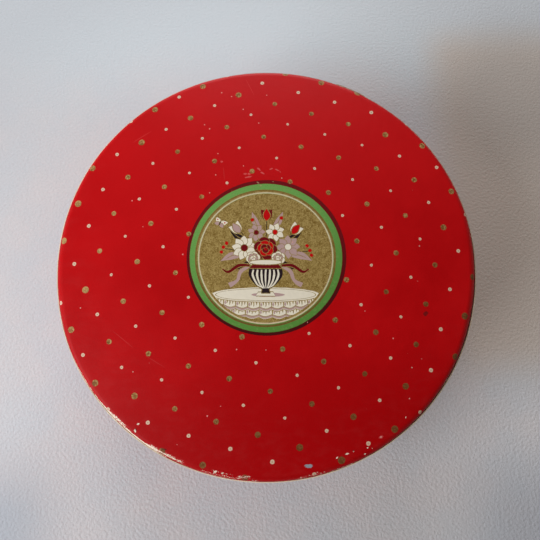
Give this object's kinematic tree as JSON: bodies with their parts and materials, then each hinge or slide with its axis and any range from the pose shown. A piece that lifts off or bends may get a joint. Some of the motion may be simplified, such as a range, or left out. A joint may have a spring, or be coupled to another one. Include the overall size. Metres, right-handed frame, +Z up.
{
  "type": "face powder box",
  "caption": "Round face powder box of paper-covered board with a lift-off domed lid, neck collar, sealed powder drum and a loose puff.",
  "frame": {"origin": "middle of the underside, where the box stands", "axes": "+Z up along the axis of the drum, +X to the right in the picture, +Y away from its lower edge"},
  "size_m": [0.086, 0.086, 0.0369],
  "materials": {
    "printed_paper": "thin paper printed red with gold and cream dots, lightly varnished",
    "grey_board": "raw grey-brown pasteboard",
    "white_board": "raw off-white card",
    "lining_paper": "smooth off-white lining paper",
    "label_paper": "plain uncoated cream paper",
    "glassine": "thin glazed translucent paper",
    "face_powder": "loose fine face powder",
    "plush": "short velour pile",
    "wadding": "soft cotton wadding",
    "satin": "pale pink satin",
    "ribbon_satin": "rose satin ribbon"
  },
  "bodies": {
    "base": {"base_bottom_label": "label_paper", "base_floor_board": "grey_board", "base_side_wall": "grey_board", "base_side_band": "printed_paper", "base_lining_disc": "lining_paper", "neck_collar": "grey_board", "neck_paper": "lining_paper", "seal_hoop": "white_board", "seal_membrane": "glassine", "powder_fill": "face_powder"},
    "puff": {"puff_face": "plush", "puff_wadding": "wadding", "puff_back": "satin", "puff_binding": "ribbon_satin", "puff_ribbon": "ribbon_satin"},
    "lid": {"lid_top_sheet": "printed_paper", "lid_top_board": "grey_board", "lid_side_wall": "grey_board", "lid_side_band": "printed_paper", "lid_lining_disc": "lining_paper", "lid_lining_strip": "lining_paper"}
  },
  "joints": [
    {"name": "lid_lift", "type": "slide", "parent": "base", "child": "lid", "axis": [0, 0, 1], "range_m": [0, 0.06]},
    {"name": "puff_lift", "type": "slide", "parent": "base", "child": "puff", "axis": [0, 0, 1], "range_m": [0, 0.006]}
  ]
}
